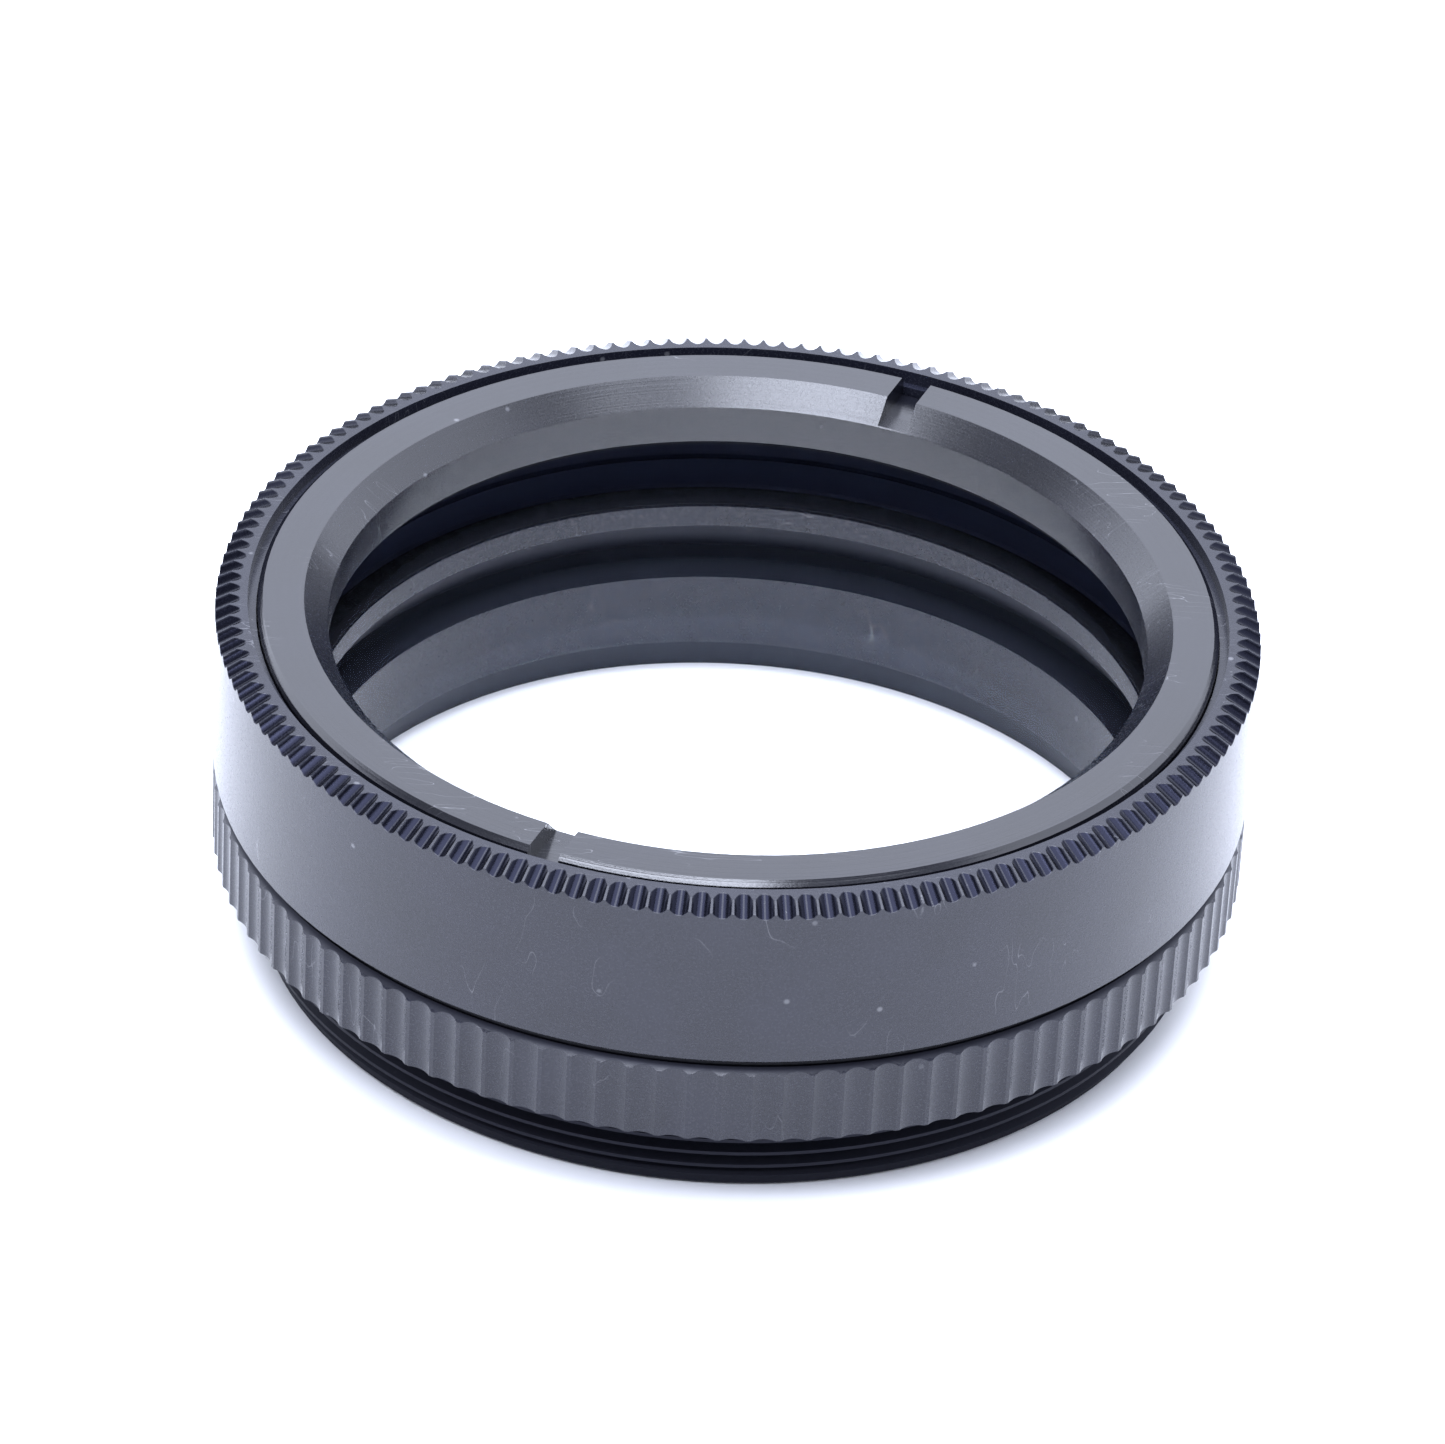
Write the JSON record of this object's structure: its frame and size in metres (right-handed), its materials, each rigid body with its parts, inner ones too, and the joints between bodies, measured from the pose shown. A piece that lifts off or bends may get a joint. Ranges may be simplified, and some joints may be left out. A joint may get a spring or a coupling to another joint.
{
  "type": "barlow lens",
  "caption": "Screw-in Barlow lens cell: a negative glass doublet clamped by a slotted retaining ring in a two-part knurled black housing with a male filter thread.",
  "frame": {"origin": "centre of the end face of the male thread, which the cell stands on", "axes": "+Z along the optical axis, from the male thread towards the retaining ring; one spanner slot lies 68.8 degrees from +X towards +Y"},
  "size_m": [0.052, 0.052, 0.0182],
  "materials": {
    "anodised_housing": "bead-blasted black anodised",
    "anodised_ring": "turned and black anodised",
    "optical_glass": "polished, anti-reflection coated, blackened edge",
    "black_polymer": "matte black"
  },
  "bodies": {
    "mount": {"mount_ring": "anodised_housing"},
    "seam": {"seam_ring": "black_polymer"},
    "cell": {"cell_body": "anodised_housing", "seat_shim": "black_polymer", "rear_element": "optical_glass", "front_element": "optical_glass"},
    "slip": {"slip_ring": "black_polymer"},
    "ring": {"retaining_ring": "anodised_ring"}
  },
  "joints": [
    {"name": "cell_lift", "type": "slide", "parent": "mount", "child": "seam", "axis": [0, 0, 1], "range_m": [0, 0.00151]},
    {"name": "cell_turn", "type": "hinge", "parent": "seam", "child": "cell", "pos_m": [0, 0, 0.00898], "axis": [0, 0, 1], "range_deg": [0, 720]},
    {"name": "ring_lift", "type": "slide", "parent": "cell", "child": "slip", "axis": [0, 0, 1], "range_m": [0, 0.00276]},
    {"name": "ring_turn", "type": "hinge", "parent": "slip", "child": "ring", "pos_m": [0, 0, 0.01663], "axis": [0, 0, 1], "range_deg": [0, 1980]}
  ],
  "couplings": [
    {"joint": "cell_lift", "follows": "cell_turn", "m_per_rad": 0.00011937},
    {"joint": "ring_lift", "follows": "ring_turn", "m_per_rad": 0.000079577}
  ]
}
